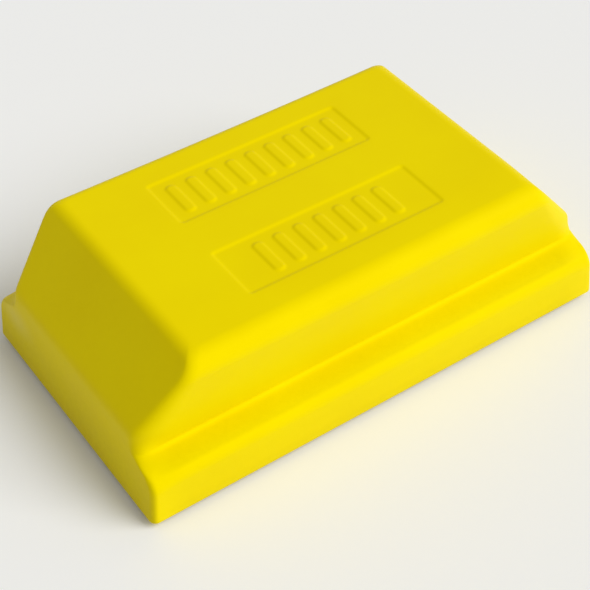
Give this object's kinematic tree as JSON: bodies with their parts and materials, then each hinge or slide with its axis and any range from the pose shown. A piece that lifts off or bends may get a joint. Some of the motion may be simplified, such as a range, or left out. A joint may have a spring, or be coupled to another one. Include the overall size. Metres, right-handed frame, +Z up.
{
  "type": "hand block float",
  "caption": "Low rectangular hand block with sloped ends, finger ledges along both long sides and a flat hook-faced sole, for working floor and tile surfaces by hand.",
  "frame": {"origin": "middle of the working face, on the plane the block stands on", "axes": "+X along the length, +Y across the width, +Z up from the working face through the grip"},
  "size_m": [0.13, 0.075, 0.0399],
  "materials": {
    "moulded_grip": "satin moulded polyurethane",
    "adhesive": "pressed adhesive film",
    "backing_tape": "woven nylon tape",
    "hooks": "bristly field of small nylon hooks"
  },
  "bodies": {
    "root": {"grip_block": "moulded_grip", "adhesive_film": "adhesive", "hook_backing": "backing_tape", "hook_pile": "hooks"}
  },
  "joints": []
}
